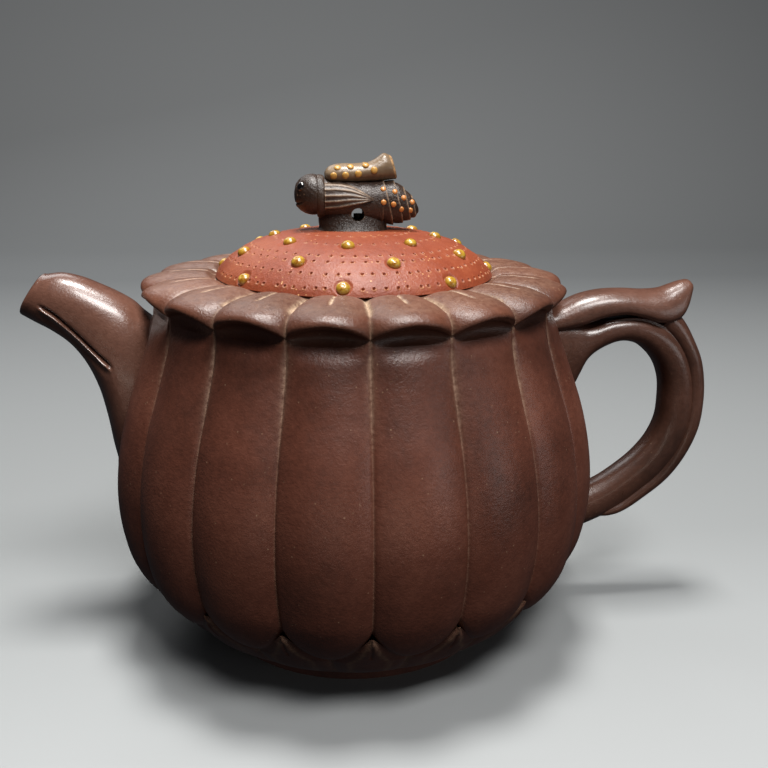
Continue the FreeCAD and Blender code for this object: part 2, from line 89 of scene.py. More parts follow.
def ramp(x, low, high):
    """Smooth step from 0 at the low value to 1 at the high one."""
    t = np.clip((x - low) / (high - low), 0, 1)
    return t * t * (3 - 2 * t)


# ---- helpers: meshes ---------------------------------------------------------------------

def grid_faces(rows, cols, wrap_rows):
    """Quads between rings that close on themselves."""
    i, j = np.meshgrid(np.arange(rows if wrap_rows else rows - 1), np.arange(cols),
                       indexing="ij")
    up, right = (i + 1) % rows, (j + 1) % cols
    quads = [i * cols + j, i * cols + right, up * cols + right, up * cols + j]
    return np.stack(quads, axis=-1).reshape(-1, 4)


def volume(verts, faces):
    """Signed volume, which tells whether the faces point outwards."""
    total = 0.0
    for k in range(1, faces.shape[1] - 1):
        a, b, c = verts[faces[:, 0]], verts[faces[:, k]], verts[faces[:, k + 1]]
        total += np.einsum("ij,ij->i", a, np.cross(b, c)).sum()
    return total / 6


class Mesh:
    """Closed shells collected into one object."""

    def __init__(self):
        self.verts, self.faces, self.dust, self.count = [], [], [], 0

    def shell(self, grid, wrap_rows=False, dust=None):
        """A tube of rings; open ends are closed by a fan, or the last ring joins the first."""
        rows, cols = grid.shape[:2]
        verts = grid.reshape(-1, 3)
        marks = np.zeros(len(verts)) if dust is None else np.asarray(dust).reshape(-1)
        faces = [grid_faces(rows, cols, wrap_rows)]
        if not wrap_rows:
            n = len(verts)
            verts = np.vstack([verts, grid[0].mean(axis=0), grid[-1].mean(axis=0)])
            marks = np.concatenate([marks, [marks[:cols].mean(), marks[-cols:].mean()]])
            j = np.arange(cols)
            k = (j + 1) % cols
            top = (rows - 1) * cols
            faces.append(np.stack([k, j, np.full(cols, n)], axis=-1))
            faces.append(np.stack([top + j, top + k, np.full(cols, n + 1)], axis=-1))
        if sum(volume(verts, f) for f in faces) < 0:
            faces = [f[:, ::-1] for f in faces]
        self.verts.append(verts)
        self.dust.append(marks)
        self.faces += [f + self.count for f in faces]
        self.count += len(verts)
        return self

    def build(self, name, material, slot, body, nodes, holes=()):
        """Make the object, ride it on a body and let it replace CAD nodes."""
        verts = np.vstack(self.verts) * MM
        mesh = bpy.data.meshes.new(name)
        loops = np.concatenate([f.ravel() for f in self.faces])
        sizes = np.concatenate([np.full(len(f), f.shape[1]) for f in self.faces])
        mesh.vertices.add(len(verts))
        mesh.vertices.foreach_set("co", verts.ravel())
        mesh.loops.add(len(loops))
        mesh.loops.foreach_set("vertex_index", loops.astype(np.int32))
        mesh.polygons.add(len(sizes))
        starts = np.concatenate([[0], np.cumsum(sizes)[:-1]])
        mesh.polygons.foreach_set("loop_start", starts.astype(np.int32))
        mesh.update(calc_edges=True)
        mesh.validate()
        marks = mesh.attributes.new("dust", "FLOAT", "POINT")
        marks.data.foreach_set("value", np.concatenate(self.dust).astype(np.float32))
        obj = bpy.data.objects.new(name, mesh)
        bpy.context.scene.collection.objects.link(obj)
        if holes:
            pierce(obj, holes)
            mesh = obj.data
        mesh.shade_smooth()
        mesh.set_sharp_from_angle(angle=SHARP)
        mesh.materials.clear()
        mesh.materials.append(material)
        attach(obj, body)
        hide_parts(*nodes)
        return obj


def pierce(obj, holes):
    """Cut round holes, each a start, an end and a radius, right through an object."""
    drills = bmesh.new()
    for start, end, radius in holes:
        start, end = Vector(start) * MM, Vector(end) * MM
        place = Matrix.Translation((start + end) / 2) @ (
            (end - start).to_track_quat("Z", "Y").to_matrix().to_4x4())
        bmesh.ops.create_cone(drills, cap_ends=True, segments=32, radius1=radius * MM,
                              radius2=radius * MM, depth=(end - start).length, matrix=place)
    tool_mesh = bpy.data.meshes.new("drill")
    drills.to_mesh(tool_mesh)
    drills.free()
    tool = bpy.data.objects.new("drill", tool_mesh)
    bpy.context.scene.collection.objects.link(tool)
    rule = obj.modifiers.new("holes", "BOOLEAN")
    rule.object, rule.operation, rule.solver = tool, "DIFFERENCE", "EXACT"
    bpy.context.view_layer.update()
    graph = bpy.context.evaluated_depsgraph_get()
    result = bpy.data.meshes.new_from_object(obj.evaluated_get(graph))
    obj.modifiers.clear()
    obj.data = result
    bpy.data.objects.remove(tool)


def full_turn(count, start=0.0):
    """Angles spread evenly round a circle."""
    return (np.arange(count) + start) * 2 * math.pi / count


def ball(centre, radius, squash=(1, 1, 1), turn=None, rows=14, cols=20):
    """Rings of a small rounded bead."""
    lift = np.linspace(-math.pi / 2, math.pi / 2, rows + 2)[1:-1]
    u, v = np.meshgrid(lift, full_turn(cols), indexing="ij")
    grid = np.stack([np.cos(u) * np.cos(v), np.cos(u) * np.sin(v), np.sin(u)], axis=-1)
    grid = grid * radius * np.asarray(squash)
    if turn is not None:
        grid = grid @ np.asarray(turn, float).T
    return grid + np.asarray(centre, float)


def facing(normal):
    """Rotation that carries +Z onto a direction."""
    return np.array(Vector(normal).to_track_quat("Z", "Y").to_matrix())


# ---- materials ---------------------------------------------------------------------------

def srgb(r, g, b):
    def line(c):
        c /= 255
        return c / 12.92 if c <= 0.04045 else ((c + 0.055) / 1.055) ** 2.4
    return (line(r), line(g), line(b), 1.0)


class Nodes:
    """A material under construction, with short names for the nodes it uses."""

    def __init__(self, name):
        self.material = bpy.data.materials.new(name)
        self.material.use_nodes = True
        self.tree = self.material.node_tree
        self.shader = self.tree.nodes["Principled BSDF"]
        self.place = self.add("ShaderNodeTexCoord").outputs["Object"]

    def add(self, kind, **values):
        node = self.tree.nodes.new(kind)
        for key, value in values.items():
            setattr(node, key, value)
        return node

    def link(self, source, target):
        self.tree.links.new(source, target)

    def noise(self, scale, detail=4.0, rough=0.55):
        node = self.add("ShaderNodeTexNoise")
        node.inputs["Scale"].default_value = scale
        node.inputs["Detail"].default_value = detail
        node.inputs["Roughness"].default_value = rough
        self.link(self.place, node.inputs["Vector"])
        return node.outputs["Fac"]

    def cells(self, scale):
        node = self.add("ShaderNodeTexVoronoi", feature="F1")
        node.inputs["Scale"].default_value = scale
        self.link(self.place, node.inputs["Vector"])
        return node.outputs["Distance"]

    def span(self, value, low, high, to_low=0.0, to_high=1.0):
        node = self.add("ShaderNodeMapRange")
        for key, number in (("From Min", low), ("From Max", high),
                            ("To Min", to_low), ("To Max", to_high)):
            node.inputs[key].default_value = number
        self.link(value, node.inputs["Value"])
        return node.outputs["Result"]

    def maths(self, kind, a, b):
        node = self.add("ShaderNodeMath", operation=kind)
        for socket, value in zip(node.inputs, (a, b)):
            if isinstance(value, (int, float)):
                socket.default_value = value
            else:
                self.link(value, socket)
        return node.outputs[0]

    def colours(self, value, stops):
        node = self.add("ShaderNodeValToRGB")
        band = node.color_ramp
        while len(band.elements) < len(stops):
            band.elements.new(0.5)
        for item, (spot, colour) in zip(band.elements, stops):
            item.position, item.color = spot, colour
        self.link(value, node.inputs["Fac"])
        return node.outputs["Color"]

    def mix(self, share, a, b):
        node = self.add("ShaderNodeMix", data_type="RGBA")
        self.link(share, node.inputs["Factor"])
        for socket, value in ((node.inputs[6], a), (node.inputs[7], b)):
            if isinstance(value, tuple):
                socket.default_value = value
            else:
                self.link(value, socket)
        return node.outputs[2]

    def bump(self, layers):
        """Layers of height, each with its strength and depth in millimetres."""
        normal = None
        for height, strength, depth in layers:
            node = self.add("ShaderNodeBump")
            node.inputs["Strength"].default_value = strength
            node.inputs["Distance"].default_value = depth * MM
            self.link(height, node.inputs["Height"])
            if normal is not None:
                self.link(normal, node.inputs["Normal"])
            normal = node.outputs["Normal"]
        self.link(normal, self.shader.inputs["Normal"])


PEEL = 0.25 * 0.35      # depth in millimetres of the broadest unevenness


def clay(name, tones, rough=(0.36, 0.52), speck=0.5, dust_tone=(162, 137, 111), coat=0.0,
         grain=0.5, worn=None, speck_tone=(150, 122, 98)):
    """Fired clay: drifting body colour, fine grain, sparse pale specks, and a pale mark that
    is dust in grooves and folds and painted highlight on the spout ridge, pit rims, tail
    segment edges and bead tops.
    """
    m = Nodes(name)
    drift = m.noise(38, 5, 0.6)
    fine = m.noise(900, 3, 0.6)
    mottle = m.maths("ADD", m.maths("MULTIPLY", drift, 0.75), m.maths("MULTIPLY", fine, 0.25))
    base = m.colours(mottle, [(0.32, srgb(*tones[0])), (0.5, srgb(*tones[1])),
                              (0.68, srgb(*tones[2]))])
    if worn is not None:
        edge = m.add("ShaderNodeNewGeometry").outputs["Pointiness"]
        rub = m.span(edge, 0.505, 0.56)
        base = m.mix(m.maths("MULTIPLY", rub, m.span(m.noise(420), 0.35, 0.6)), base,
                     srgb(*worn))
    seeds = m.cells(900)
    where = m.span(m.noise(260, 2), 0.55, 0.62)
    spot = m.maths("MULTIPLY", m.span(seeds, 0.17, 0.08), m.maths("MULTIPLY", where, speck))
    base = m.mix(spot, base, srgb(*speck_tone))
    # Pale mark from the mesh: dust in grooves and folds, and painted highlight on the spout
    # ridge, pit rims, tail segment edges and bead tops.
    mark = m.add("ShaderNodeAttribute", attribute_name="dust").outputs["Fac"]
    patchy = m.span(m.noise(900, 5, 0.75), 0.36, 0.62, 0.12, 1.0)
    dusty = m.maths("MULTIPLY", m.maths("MULTIPLY", mark, patchy), 1.15)
    base = m.mix(dusty, base, srgb(*dust_tone))
    m.link(base, m.shader.inputs["Base Color"])
    gloss = m.span(m.noise(120, 4, 0.6), 0.3, 0.7, rough[0], rough[1])
    m.link(m.maths("ADD", gloss, m.maths("MULTIPLY", dusty, 0.3)),
           m.shader.inputs["Roughness"])
    m.shader.inputs["Coat Weight"].default_value = coat
    m.shader.inputs["Coat Roughness"].default_value = 0.18
    m.shader.inputs["IOR"].default_value = 1.5
    m.bump([(m.noise(90, 3, 0.5), 0.35, PEEL), (m.noise(520, 3, 0.6), 0.35, 0.10),
            (m.noise(1900, 3, 0.65), grain, 0.13)])
    return m.material


dark_clay = clay("dark_clay", ((62, 34, 25), (87, 49, 37), (106, 64, 50)), (0.33, 0.45),
                 dust_tone=(150, 122, 102), grain=0.6)
shoulder_clay = clay("shoulder_clay", ((68, 39, 28), (90, 54, 40), (108, 68, 52)),
                     (0.34, 0.47), dust_tone=(190, 166, 140), grain=0.8)
# Painted sheen: the spout's clay is the body clay painted a little lighter and greyer.
spout_clay = clay("spout_clay", ((70, 44, 35), (94, 62, 50), (112, 78, 65)), (0.24, 0.34),
                  coat=0.5)
handle_clay = clay("handle_clay", ((54, 34, 26), (78, 50, 39), (98, 66, 54)), (0.26, 0.38),
                   coat=0.35)
calyx_clay = clay("calyx_clay", ((58, 32, 24), (80, 46, 35), (98, 60, 47)), (0.38, 0.52))
# The lid's pale mark tone paints the highlights on the lower rims of the pits.
lid_clay = clay("lid_clay", ((106, 43, 23), (128, 58, 32), (146, 76, 45)), (0.44, 0.56),
                speck=0.8, speck_tone=(226, 176, 120), dust_tone=(206, 160, 112), grain=1.0)
# The seeds' pale yellow mark tone paints a highlight on the top of each bead.
seed_clay = clay("seed_clay", ((96, 42, 14), (132, 70, 18), (150, 90, 26)), (0.12, 0.22),
                 speck=0.1, coat=0.8, dust_tone=(178, 146, 44), grain=0.2)
insect_clay = clay("insect_clay", ((26, 16, 11), (40, 26, 18), (60, 42, 31)), (0.36, 0.50),
                   speck=0.5, grain=1.4, worn=(96, 76, 58), dust_tone=(166, 138, 112))
head_clay = clay("head_clay", ((26, 17, 12), (42, 28, 20), (64, 46, 34)), (0.32, 0.46),
                 speck=0.5, grain=1.2)
wing_clay = clay("wing_clay", ((28, 18, 13), (42, 28, 21), (60, 43, 32)), (0.36, 0.5),
                 speck=0.2, grain=0.8, worn=(130, 108, 88), dust_tone=(186, 160, 134))
case_clay = clay("case_clay", ((84, 66, 48), (112, 92, 70), (136, 116, 92)), (0.30, 0.44),
                 speck=0.3, grain=0.4, dust_tone=(196, 150, 98))
gold_clay = clay("gold_clay", ((140, 98, 40), (176, 130, 58), (198, 156, 84)), (0.3, 0.42),
                 speck=0.2, grain=0.3)
dot_clay = clay("dot_clay", ((150, 82, 32), (178, 112, 52), (196, 140, 76)), (0.3, 0.42),
                speck=0.2, grain=0.3)
eye_clay = clay("eye_clay", ((6, 4, 4), (9, 6, 6), (14, 10, 9)), (0.06, 0.12), speck=0.0,
                coat=1.0, grain=0.05)
inner_clay = clay("inner_clay", ((80, 42, 28), (104, 58, 40), (124, 74, 54)), (0.55, 0.7))


# ---- petal wall --------------------------------------------------------------------------

WALL_LEVELS = (
    (5.7, 0.702), (9.0, 0.782), (12.0, 0.846), (16.0, 0.914), (20.0, 0.957), (26.0, 0.988),
    (34.0, 1.000), (42.0, 0.984), (50.0, 0.947), (58.0, 0.890), (62.0, 0.860),
    (64.0, 0.8440), (66.0, 0.8290), (67.7, 0.8170), (69.2, 0.8100), (70.2, 0.8060),
)
BELLY = 50.0            # radius of the crests at the belly
WALL = 3.2              # thickness of the clay
NECK = 69.2             # level where the wall ends under the petal tops
HEEL = 5.7              # level where the inside of the wall ends
TIP = 2.6               # share of the rise with close rows, out of 57.4
INSET = 1.425           # from the crests to the skin that the thickness counts from
HEEL_INSET = 0.925      # the same under the lower edge
SKIN = 1.9              # how far the lower edge turns in
GRILLE_LEVEL = 52       # middle of the strainer
GRILLE = 4.3            # radius of its ring of holes
GRILLE_HOLE = 1.2       # radius of each hole
crest_at = spline([z for z, _ in WALL_LEVELS], [BELLY * s for _, s in WALL_LEVELS])
depth_at = spline((5.7, 12, 20, 34, 50, 58, 63, 65.7, 67.5, 69, 70.2),
                  (1.0, 1.5, 1.75, 1.85, 1.7, 1.5, 1.15, 0.75, 0.35, 0.03, -0.1))

# Petal share of each column, from one groove to the next, closest together in the grooves.
HALF = np.array([0.0, 0.12, 0.24, 0.36, 0.47, 0.57, 0.66, 0.74, 0.81, 0.87, 0.915, 0.95,
                 0.972, 0.988, 1.0])
SHARE = np.concatenate([-HALF[::-1], HALF[1:-1]])
TURN = np.concatenate([(k + SHARE / 2) * PITCH for k in range(PETALS)])
PHI = np.tile(SHARE, PETALS)


def pillow(share, power=2.2):
    return 1 - np.abs(share) ** power


FOOT_LOW, FOOT_RISE, FOOT_POWER = 11.6, 7.2, 1.8
CUP_LOW = 2.5


def foot_line(share):
    """Height of a petal's lower edge: low in the middle, high in the groove."""
    return FOOT_LOW + FOOT_RISE * np.abs(share) ** FOOT_POWER


def groove_gap(share, radius):
    """Distance in millimetres from the nearest groove line."""
    return (1 - np.abs(share)) * radius * PITCH / 2


def ring(radius, turn, level):
    level = np.broadcast_to(level, radius.shape)
    return np.stack([radius * np.cos(turn), radius * np.sin(turn), level], axis=-1)


def wall_outside(share, level):
    crest, deep = crest_at(level), depth_at(level)
    gap = groove_gap(share, crest)
    return crest - deep * (1 - pillow(share)) - 0.25 * bell(gap, 0.36)


def make_wall():
    """Ribbed wall whose lower edge follows the calyx; rows lie closest at that edge."""
    rise = np.concatenate([np.linspace(0, TIP, 11), np.linspace(TIP, 57.4, 86)[1:]])
    rise /= rise[-1]
    low = foot_line(PHI)
    level = low + rise[:, None] * (NECK - low)
    radius = wall_outside(PHI, level)
    tuck = np.clip((level - low) / 2.5, 0, 1)
    radius = radius - SKIN * (1 - np.sqrt(1 - (1 - tuck) ** 2))
    radius = radius - 0.8 * pillow(PHI, 2) * ramp(level, 66.4, NECK)
    outside = ring(radius, TURN, level)
    gap = groove_gap(PHI, radius)
    high = ramp(level, 48, 64) * (1 - 0.7 * ramp(level, 67.5, 69))
    dust = (0.30 + 0.26 * high) * bell(gap, 0.17 + 0.18 * high)
    dust += 0.16 * bell(gap, 1.0) * high
    inside_level = np.linspace(NECK, HEEL, 56)[:, None] + 0 * PHI
    steep = 1 + 0.15 * (inside_level < 20)
    inside = ring(crest_at(inside_level) - INSET - WALL * steep, TURN, inside_level)
    heel_level = HEEL + np.linspace(0, 1, 18)[1:-1, None] * (low - HEEL)
    heel = ring(crest_at(heel_level) - HEEL_INSET - 1.15 * WALL, TURN, heel_level)
    inside = np.concatenate([inside, heel])
    marks = np.concatenate([dust, np.zeros(inside.shape[:2])])
    grid = np.concatenate([outside, inside])
    holes = [((-36, 0, GRILLE_LEVEL), (-58, 0, GRILLE_LEVEL), GRILLE_HOLE)]
    for k in range(6):
        turn = math.radians(60 * k + 30)
        y, z = GRILLE * math.cos(turn), GRILLE_LEVEL + GRILLE * math.sin(turn)
        holes.append(((-34, y, z), (-58, y, z), GRILLE_HOLE))
    Mesh().shell(grid, True, marks).build("petal_wall", dark_clay, "dark_clay", "pot",
                                          ("pot_wall",), holes)


def make_calyx():
    outer = spline((2.5, 4.5, 7.0, 12.0, 15.5, 18.7, 20.5),
                   (30.8, 34.4, 37.5, 41.9, 44.5, 45.95, 46.6))
    top = foot_line(PHI) + 0.9 * (1 - np.abs(PHI) ** 6)
    rows = np.linspace(0, 1, 64)[:, None]
    level = CUP_LOW + rows * (top - CUP_LOW)
    edge = np.clip((level - FOOT_LOW) / FOOT_RISE, 0, 1) ** (1 / FOOT_POWER)
    half = 1 - edge
    radius = outer(level)
    middle = groove_gap(PHI, radius)
    across = np.abs(PHI) * radius * PITCH / 2
    width = np.maximum(half * radius * PITCH / 2, 0.3)
    fold = np.clip(1 - middle / width, 0, 1)
    grow = ramp(level, 3.0, 9.0)
    radius = radius + 0.75 * grow * (1 - (1 - fold) ** 1.6) - 0.35 * grow
    radius = radius - 0.5 * bell(across, 0.55) * ramp(level, 3.5, 8.0)
    slit = ramp(level, 12.6, 13.4) * (1 - ramp(level, 16.4, 17.2))
    radius = radius - 0.4 * bell(middle, 0.28) * slit
    dust = 0.30 * bell(middle - width * 0.5, 0.5) + 0.25 * bell(across, 0.6)
    inner_level = np.linspace(1, 0, 14)[:, None] * (top - 0.9 - 3.4) + 3.4
    inner = ring(outer(inner_level) - 1.6, TURN, inner_level)
    grid = np.concatenate([ring(radius, TURN, level), inner])
    marks = np.concatenate([dust, np.zeros(inner.shape[:2])])
    Mesh().shell(grid, True, marks).build("calyx_cup", calyx_clay, "dark_clay", "pot",
                                          ("calyx_sepals",))


# ---- shoulder ----------------------------------------------------------------------------

def shoulder_profile(share, count):
    """Profile of the petal tops at one place between a petal's middle and its groove.

    Known fault: in the groove the fourth and fifth of these points fall together, so two rows
    of the curve are undefined there and Blender moves those vertices to the origin.
    """
    lip, arch = 1 - share ** 3, 1 - share ** 2
    points = (
        (40.5 - 0.80 * arch, 69.2), (40.5 - 1.30 * arch, 69.8),
        (40.5 - 1.60 * arch, 70.3 + 0.5 * arch), (40.5 - 0.95 * arch, 70.5 + 1.5 * arch),
        (40.5 + 0.8 * lip, 70.5 + 2.05 * arch), (40.5 + 1.7 * lip, 70.6 + 2.35 * arch),
        (40.5 + 2.28 * lip, 70.9 + 2.50 * arch), (40.45 + 2.2 * lip, 71.8 + 2.15 * arch),
        (39.9 + 1.9 * lip, 73.0 + 1.65 * arch),
        (38.4 + 1.7 * lip, 74.1 + 1.15 * arch), (36.3 + 1.3 * lip, 74.6 + 1.2 * lip),
        (33.2 + 1.0 * lip, 74.85 + 1.3 * lip), (30.6 + 0.6 * lip, 74.9 + 1.3 * lip),
        (29.2 + 0.2 * lip, 74.85 + 1.05 * lip), (28.6, 74.7 + 0.6 * lip),
    )
    return along(points, count)


SHALF = np.array([0.0, 0.025, 0.05, 0.085, 0.14, 0.22, 0.32, 0.43, 0.54, 0.64, 0.73, 0.81,
                  0.87, 0.91, 0.94, 0.962, 0.98, 0.991, 1.0])


def make_shoulder():
    share = np.concatenate([-SHALF[::-1], SHALF[1:-1]])
    turn = np.concatenate([(k + share / 2) * PITCH for k in range(PETALS)])
    phi = np.tile(share, PETALS)
    profiles = {value: shoulder_profile(value, 96) for value in SHALF}
    flat = np.stack([profiles[value] for value in np.abs(phi)], axis=1)
    radius, level = flat[..., 0], flat[..., 1]
    rows = np.linspace(0, 1, 96)[:, None]
    gap = groove_gap(phi, radius)
    middle = np.abs(phi) * radius * PITCH / 2
    vein = bell(middle, 0.34) * ramp(rows, 0.56, 0.66)
    on_top = ramp(rows, 0.33, 0.50)
    level = level - 0.28 * vein * on_top - 0.35 * bell(gap, 0.4) * on_top
    radius = radius - 0.25 * bell(gap, 0.36) * (1 - on_top)
    dust = (0.25 + 0.75 * on_top) * bell(gap, 0.3 + 0.25 * on_top) + 0.8 * vein
    dust = np.maximum(dust, 0.08 * on_top)
    under = np.array([(26.55, 74.85), (26.55, 73.4), (26.55, 71.9), (31.0, 71.6),
                      (35.5, 71.15), (36.9, 70.3), (37.6, 69.3)])
    below = ring(np.broadcast_to(under[:, 0:1], (len(under), len(phi))), turn,
                 under[:, 1:2])
    grid = np.concatenate([ring(radius, turn, level), below])
    marks = np.concatenate([dust, np.zeros(below.shape[:2])])
    Mesh().shell(grid, True, marks).build("petal_shoulder", shoulder_clay, "dark_clay",
                                          "pot", ("shoulder_petals",))


# ---- spout -------------------------------------------------------------------------------

SPOUT = (
    (-63.9, 71.5, 57.0, 4.75, 4.55), (-61.3, 70.9, 60.0, 5.60, 5.20),
    (-57.9, 69.6, 61.0, 6.20, 5.80), (-54.1, 67.3, 62.5, 6.85, 6.40),
    (-50.9, 64.3, 64.5, 8.10, 7.10), (-48.6, 60.9, 67.0, 9.80, 7.70),
    (-47.1, 57.1, 69.5, 11.80, 8.20), (-45.7, 53.0, 70.9, 14.30, 8.50),
    (-43.7, 47.8, 72.3, 17.00, 8.50),
)
SLIT = ((-62.2, 70.3), (-59.2, 68.4), (-56.0, 65.5), (-52.4, 61.9), (-48.0, 57.7))
SLIT_STEPS = 400


def mid_wall(level):
    return crest_at(level) - SKIN - WALL / 2


def hold_out(grid):
    """Keep the root of a limb from reaching past the middle of the pot's wall."""
    reach = np.hypot(grid[..., 0], grid[..., 1])
    limit = mid_wall(grid[..., 2])
    share = np.where(reach < limit, limit / np.maximum(reach, 1e-6), 1.0)
    grid = grid.copy()
    grid[..., 0] *= share
    grid[..., 1] *= share
    return grid


def rounded(value, power):
    """Sine or cosine bent so that a circle gets squarer above a power of 2."""
    return np.sign(value) * np.abs(value) ** (2 / power)


def section(stations, spin, grow, power):
    """Rings of a limb in the XZ plane from rows of centre, tilt, half height, half width."""
    x, z, tilt, tall, wide = (stations[:, k][:, None] for k in range(5))
    turn = np.radians(tilt)
    a = rounded(np.sin(spin), power) * (tall + grow)
    b = rounded(np.cos(spin), power) * (wide + grow)
    return np.stack([x + np.cos(turn) * a, b + 0 * a, z + np.sin(turn) * a], axis=-1)


def spout_section(stations, spin, grow):
    """Rings of the spout: flattened upper flanks that meet rounder lower ones."""
    x, z, tilt, tall, wide = (stations[:, k][:, None] for k in range(5))
    turn = np.radians(tilt)
    c, s = np.cos(spin), np.sin(spin)
    soft = np.where(s > 0, 2 / 2.25, 2 / 1.8)
    tall, wide = tall + grow, wide + grow
    low = -0.18 * tall
    a = np.where(s > 0, low + (tall - low) * np.abs(s) ** soft,
                 low - (tall + low) * np.abs(s) ** soft)
    b = np.sign(c) * wide * np.abs(c) ** soft
    return np.stack([x + np.cos(turn) * a, b, z + np.sin(turn) * a], axis=-1), a


def make_spout():
    rows = 110
    spin = full_turn(360, 0.5)
    stations = along(SPOUT, rows)
    _, height = spout_section(stations, spin, 0.0)
    turn = np.radians(stations[:, 2:3])
    slit = along(SLIT, SLIT_STEPS)
    dx = slit[None, :, 0] - stations[:, 0:1]
    dz = slit[None, :, 1] - stations[:, 1:2]
    nearest = np.argmin(np.abs(-np.sin(turn) * dx + np.cos(turn) * dz), axis=1)
    pick = np.arange(rows)
    place = (np.cos(turn) * dx + np.sin(turn) * dz)[pick, nearest][:, None]
    share = (nearest / (SLIT_STEPS - 1))[:, None]
    fade = ramp(share, 0.0, 0.12) * (1 - ramp(share, 0.90, 1.0))
    below = place - height
    relief = fade * (-1.00 * bell(below + 0.10, 0.30) + 0.36 * bell(below - 0.62, 0.28)
                     - 0.35 * bell(below - 1.7, 0.8))
    outside, _ = spout_section(stations, spin, 0.0)
    outside[..., 1] += np.sign(np.cos(spin)) * relief
    lip_turn = math.radians(SPOUT[0][2])
    ahead = np.array([-math.sin(lip_turn), 0, math.cos(lip_turn)])
    lip = []
    for k in range(1, 8):
        angle = math.pi * k / 8
        ring_at, _ = spout_section(stations[:1], spin, -0.9 + 0.9 * math.cos(angle))
        lip.append(ring_at[0] + ahead * 0.6 * math.sin(angle))
    bore, _ = spout_section(stations, spin, -1.8)
    grid = np.concatenate([outside[::-1], np.array(lip), bore])
    dust = np.zeros(grid.shape[:2])
    # Painted highlight: a pale mark along the thin ridge under the slit.
    dust[:rows] = (0.22 * fade * bell(below - 0.8, 0.35))[::-1]
    Mesh().shell(hold_out(grid), True, dust).build(
        "pouring_spout", spout_clay, "dark_clay", "pot", ("spout", "spout_folds"))


# ---- handle ------------------------------------------------------------------------------

HANDLE = (
    (38.5, 65.5, 102.0, 16.9, 9.8), (43.5, 65.8, 101.5, 16.5, 9.7),
    (46.4, 65.1, 99.0, 12.3, 9.5), (48.9, 64.3, 95.6, 8.2, 9.1),
    (54.6, 65.6, 95.0, 5.8, 8.8), (61.3, 65.7, 76.0, 6.0, 8.8),
    (67.2, 63.2, 52.0, 6.8, 8.8), (71.4, 58.6, 31.0, 7.0, 8.8),
    (73.6, 53.6, 19.0, 7.1, 8.7), (74.7, 47.2, 4.0, 7.4, 8.6),
    (74.5, 41.3, -9.0, 7.5, 8.5), (72.6, 35.3, -24.0, 7.7, 8.3),
    (68.9, 29.7, -38.0, 7.9, 8.2), (63.4, 24.5, -53.0, 8.1, 8.0),
    (58.5, 20.9, -66.0, 8.4, 8.0), (53.4, 18.3, -72.0, 8.6, 8.0),
    (47.0, 16.0, -75.0, 8.8, 8.0), (41.0, 14.8, -80.0, 8.8, 8.0),
)
SPINE = (
    (67.8, 67.8, 58.0, 2.8), (70.8, 64.7, 43.0, 2.7), (73.3, 60.7, 33.0, 2.4),
    (75.4, 56.4, 24.0, 2.4), (76.7, 50.8, 11.0, 2.4), (76.98, 46.1, 3.0, 2.3),
    (76.5, 40.6, -9.0, 2.2), (74.5, 34.9, -24.0, 2.1), (70.7, 29.0, -39.0, 1.9),
    (65.2, 24.1, -52.0, 1.8), (60.3, 20.8, -62.0, 1.6), (57.2, 19.6, -66.0, 1.4),
    (54.0, 18.9, -70.0, 1.0),
)


def make_handle():
    spin = full_turn(200)
    edge = along(HANDLE, 150)
    turn = np.radians(edge[:, 2])
    half = edge[:, 3] / 2
    middle = np.stack([edge[:, 0] - np.cos(turn) * half, edge[:, 1] - np.sin(turn) * half,
                       edge[:, 2], half, edge[:, 4] / 2], axis=-1)
    share = np.linspace(0, 1, 150)[:, None]
    rise = np.sin(spin)
    rim = ramp(share, 0.13, 0.18) * (1 - ramp(share, 0.52, 0.68))
    grow = rim * (0.50 * bell(rise - 0.78, 0.06) - 0.60 * bell(rise - 0.96, 0.12))
    loop = section(middle, spin, grow, 2.25)
    Mesh().shell(hold_out(loop)).build("loop_of_handle", handle_clay, "dark_clay", "pot",
                                       ("handle_loop",))

    band = along(SPINE, 120)
    turn = np.radians(band[:, 2])
    end = np.sqrt(1 - np.clip((np.linspace(0, 1, 120) - 0.9) / 0.1, 0, 1) ** 2 * 0.96)
    middle = np.stack([band[:, 0] - np.cos(turn) * band[:, 3],
                       band[:, 1] - np.sin(turn) * band[:, 3], band[:, 2],
                       band[:, 3] * end, 3.85 * end], axis=-1)
    Mesh().shell(section(middle, spin, 0.0, 2.3)).build(
        "spine_of_handle", handle_clay, "dark_clay", "pot", ("handle_spine",))


STRAP_TOP = (
    (38.5, 66.0), (43.5, 68.4), (47.3, 70.2), (51.6, 71.2), (57.0, 71.45), (61.9, 71.25),
    (65.2, 71.55), (67.6, 72.4), (69.8, 73.1), (71.2, 73.2), (71.9, 72.6),
)
STRAP_BOTTOM = (
    (38.5, 62.8), (43.5, 63.2), (47.6, 63.9), (52.4, 65.5), (57.4, 66.1), (61.5, 65.2),
    (64.8, 64.2), (67.6, 64.3), (69.9, 65.6), (71.0, 67.6), (71.7, 70.6),
)


